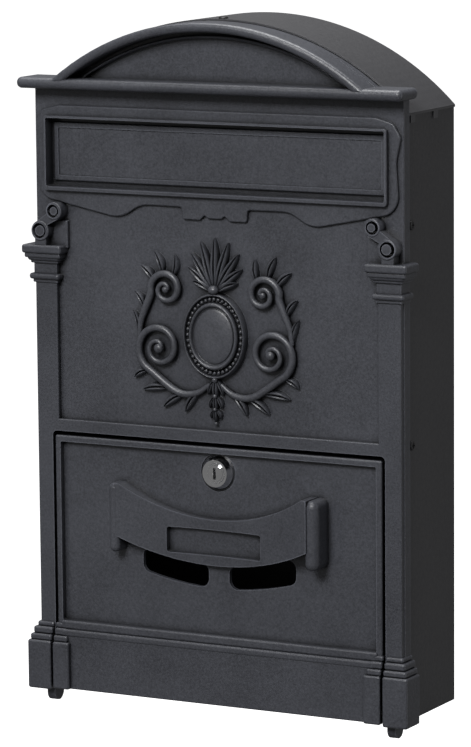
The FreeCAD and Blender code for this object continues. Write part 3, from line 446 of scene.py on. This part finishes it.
def crest_fan():
    """Nine leaves that open like a fan above the medallion."""
    fan = bmesh.new()
    foot = MEDALLION_UP + MEDALLION_HALVES[1] + 1
    for number in range(-4, 5):
        lean = math.radians(17.5 * number)
        reach = 32 - number ** 2
        tip = (reach * math.sin(lean), foot + reach * math.cos(lean))
        add_leaf(fan, (2 * math.sin(lean), foot), tip, 6.6, 5, curl=0.3 * number)
    add_bead(fan, 0, foot + 1, 4, 3.6, 0.8, 0.9, 16)
    return finish_piece("crest_fan", fan)


def crest_leaves():
    """Leaves that grow from the outer edges of the scrolls, each as (base, tip, width)."""
    leaves = bmesh.new()
    sprays = (((12, 21), (21, 8), 6), ((22, 19), (36, 10), 6), ((33, 22), (50, 20), 6),
              ((47, 32), (56, 27), 5), ((52, 55), (56, 68), 4.6), ((48, 70), (55, 80), 5),
              ((41, 86.5), (51, 96), 5.4), ((35.5, 91), (41, 105), 5.4), ((28.6, 90), (27, 103), 5))

    def spray(side):
        for (base_across, base_up), (tip_across, tip_up), width in sprays:
            add_leaf(leaves, (side * base_across, base_up), (side * tip_across, tip_up), width, 4.2,
                     curl=side * 1.1)

    on_both_sides(spray)
    return finish_piece("crest_leaves", leaves)


def crest_drop():
    """A string of husks that get smaller below the medallion."""
    drop = bmesh.new()
    for top, length in ((29, 12), (19, 9.5), (11, 7.5)):
        add_leaf(drop, (0, top), (0, top - length), 0.42 * length, 5)

        def outer(side):
            add_leaf(drop, (side * 0.6, top), (side * 0.42 * length, top - 0.8 * length), 0.36 * length, 4,
                     curl=side * 0.9)

        on_both_sides(outer)
        add_bead(drop, 0, top, 3.6, 0.16 * length, 1, 0.9)
    add_bead(drop, 0, 2.4, 2.4, 1.2)
    return finish_piece("crest_drop", drop)


medallion = crest_medallion()
crest_beading()
crest_scrolls()
crest_fan()
crest_leaves()
crest_drop()
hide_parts("crest_relief")


# ---------------------------------------------------------------- camera, floor and light

CAMERA_YAW = math.radians(28.01)
CAMERA_PITCH = math.radians(8.75)
CAMERA_ROLL = math.radians(-0.506)
CAMERA_TARGET = Vector((-0.00463, -0.040, -0.00581))
CAMERA_DISTANCE = 2.557
CAMERA_LENS = 202.7
SENSOR_WIDTH = 36
SIGHT_LIMIT = 50
FLOOR_LEVEL = -0.75
FLOOR_SIZE = 80
FLOOR_GREY = 0.9
FLOOR_GLOW = 0.95
SURROUND_GLOW = 0.16
LIGHT_TARGET = Vector((0, -0.04, 0))


def camera_axes():
    """The camera's across, up and back directions."""
    back = Vector((math.sin(CAMERA_YAW) * math.cos(CAMERA_PITCH), -math.cos(CAMERA_YAW) * math.cos(CAMERA_PITCH),
                   math.sin(CAMERA_PITCH)))
    right = (-back).cross(Vector((0, 0, 1))).normalized()
    up = right.cross(-back)
    across = right * math.cos(CAMERA_ROLL) + up * math.sin(CAMERA_ROLL)
    upright = up * math.cos(CAMERA_ROLL) - right * math.sin(CAMERA_ROLL)
    return across, upright, back


def set_camera():
    """A long lens from the front right, a little above the middle."""
    across, upright, back = camera_axes()
    turn = Matrix((across, upright, back)).transposed()
    camera = bpy.data.objects.new("camera", bpy.data.cameras.new("camera"))
    camera.matrix_world = Matrix.Translation(CAMERA_TARGET + back * CAMERA_DISTANCE) @ turn.to_4x4()
    camera.data.lens = CAMERA_LENS
    camera.data.sensor_width = SENSOR_WIDTH
    camera.data.clip_end = SIGHT_LIMIT
    bpy.context.scene.collection.objects.link(camera)
    bpy.context.scene.camera = camera


def area_light(name, place, size, power):
    """A soft box that faces the object."""
    light = bpy.data.lights.new(name, "AREA")
    light.shape = "RECTANGLE"
    light.size, light.size_y = size
    light.energy = power
    holder = bpy.data.objects.new(name, light)
    holder.location = place
    holder.rotation_euler = (LIGHT_TARGET - Vector(place)).to_track_quat("-Z", "Y").to_euler()
    bpy.context.scene.collection.objects.link(holder)


def set_floor():
    """A plain pale floor far below the wall-hung object, bright as a light table."""
    bpy.ops.mesh.primitive_plane_add(size=FLOOR_SIZE, location=(0, 0, FLOOR_LEVEL))
    floor = bpy.context.object
    floor.name = "floor"
    material, tree, shader = new_material("pale_floor")
    shader.inputs["Base Color"].default_value = (FLOOR_GREY, FLOOR_GREY, FLOOR_GREY, 1)
    shader.inputs["Roughness"].default_value = 0.9
    shader.inputs["Emission Color"].default_value = (*WHITE, 1)
    shader.inputs["Emission Strength"].default_value = FLOOR_GLOW
    floor.data.materials.append(material)
    floor.visible_diffuse = False
    floor.visible_glossy = False


def set_surround():
    """A dim white surround."""
    world = bpy.data.worlds.new("surround")
    bpy.context.scene.world = world
    world.use_nodes = True
    background = world.node_tree.nodes["Background"]
    background.inputs["Color"].default_value = (*WHITE, 1)
    background.inputs["Strength"].default_value = SURROUND_GLOW


set_camera()
set_floor()
set_surround()
area_light("key", (0.1, -2.3, 1.5), (1.1, 0.9), 74)
area_light("card", (-1.18, -1.62, -0.3), (0.16, 0.3), 0.35)
area_light("top", (-0.3, 0.1, 2.0), (1.6, 1.2), 60)
area_light("side", (2.1, 0.55, 0.0), (0.8, 1.6), 5.5)
bpy.context.scene.view_settings.view_transform = "Standard"
